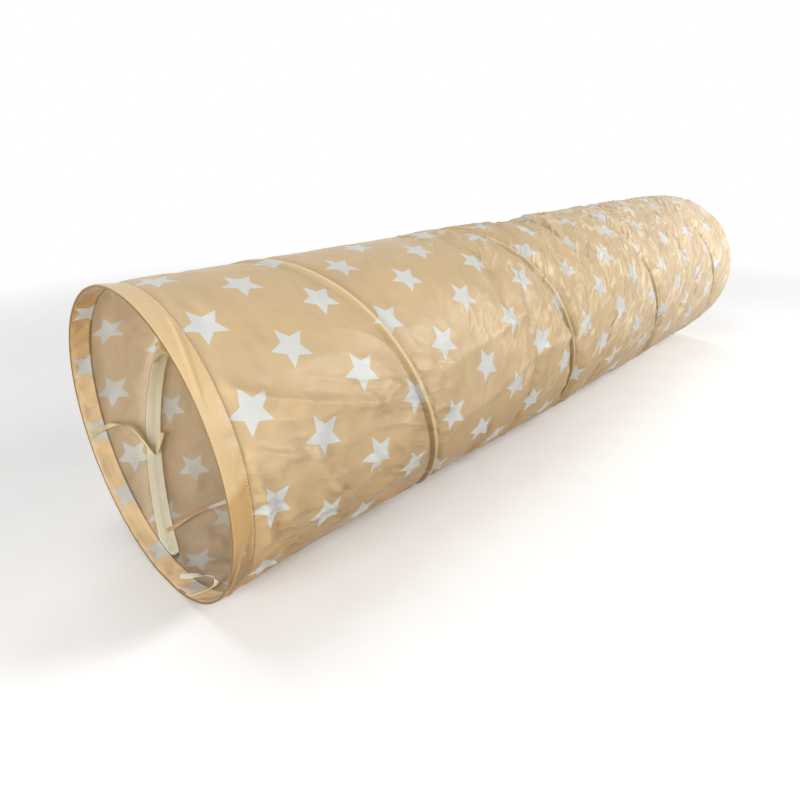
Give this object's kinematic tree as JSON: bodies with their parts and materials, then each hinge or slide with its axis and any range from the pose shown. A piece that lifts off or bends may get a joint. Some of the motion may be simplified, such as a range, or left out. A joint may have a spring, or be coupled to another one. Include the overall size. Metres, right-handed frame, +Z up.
{
  "type": "kids play tunnel",
  "caption": "Pop-up crawl-through play tunnel: a star-print cloth sleeve on a spiral spring wire, with a hoop hem at each mouth, that folds flat end to end.",
  "frame": {"origin": "on the floor, under the middle of the opened tunnel", "axes": "+X along the tunnel from the pictured mouth to the far mouth, +Z up, +Y to the side away from the camera"},
  "size_m": [1.85, 0.457, 0.455],
  "materials": {
    "sleeve_cloth": "satin",
    "hem_cloth": "satin",
    "casing_tape": "matte",
    "tie_ribbon": "satin",
    "spring_steel": "satin"
  },
  "bodies": {
    "front_end": {"front_hem": "hem_cloth", "front_hoop_wire": "spring_steel", "front_hoop_ferrule": "spring_steel", "sleeve_turn_1": "sleeve_cloth", "spring_wire_turn_1": "spring_steel", "casing_tape_turn_1": "casing_tape", "front_tie_side": "tie_ribbon", "front_tie_bottom": "tie_ribbon", "coil_tie_bow": "tie_ribbon", "coil_tie_floor": "tie_ribbon"},
    "turn_2": {"sleeve_turn_2": "sleeve_cloth", "spring_wire_turn_2": "spring_steel", "casing_tape_turn_2": "casing_tape"},
    "turn_3": {"sleeve_turn_3": "sleeve_cloth", "spring_wire_turn_3": "spring_steel", "casing_tape_turn_3": "casing_tape"},
    "turn_4": {"sleeve_turn_4": "sleeve_cloth", "spring_wire_turn_4": "spring_steel", "casing_tape_turn_4": "casing_tape"},
    "rear_end": {"rear_hem": "hem_cloth", "rear_hoop_wire": "spring_steel", "rear_hoop_ferrule": "spring_steel"}
  },
  "joints": [
    {"name": "fold_turn_1", "type": "slide", "parent": "front_end", "child": "turn_2", "axis": [1, 0, 0], "range_m": [-0.4355, 0], "stiffness_N_per_m": 6.5, "deforming": ["sleeve_turn_1", "spring_wire_turn_1", "casing_tape_turn_1", "coil_tie_bow", "coil_tie_floor"]},
    {"name": "fold_turn_2", "type": "slide", "parent": "turn_2", "child": "turn_3", "axis": [1, 0, 0], "range_m": [-0.4355, 0], "stiffness_N_per_m": 6.5, "deforming": ["sleeve_turn_2", "spring_wire_turn_2", "casing_tape_turn_2"]},
    {"name": "fold_turn_3", "type": "slide", "parent": "turn_3", "child": "turn_4", "axis": [1, 0, 0], "range_m": [-0.4355, 0], "stiffness_N_per_m": 6.5, "deforming": ["sleeve_turn_3", "spring_wire_turn_3", "casing_tape_turn_3"]},
    {"name": "fold_turn_4", "type": "slide", "parent": "turn_4", "child": "rear_end", "axis": [1, 0, 0], "range_m": [-0.4355, 0], "stiffness_N_per_m": 6.5, "deforming": ["sleeve_turn_4", "spring_wire_turn_4", "casing_tape_turn_4"]}
  ],
  "couplings": [
    {"joint": "fold_turn_2", "follows": "fold_turn_1", "ratio": 1},
    {"joint": "fold_turn_3", "follows": "fold_turn_1", "ratio": 1},
    {"joint": "fold_turn_4", "follows": "fold_turn_1", "ratio": 1}
  ]
}
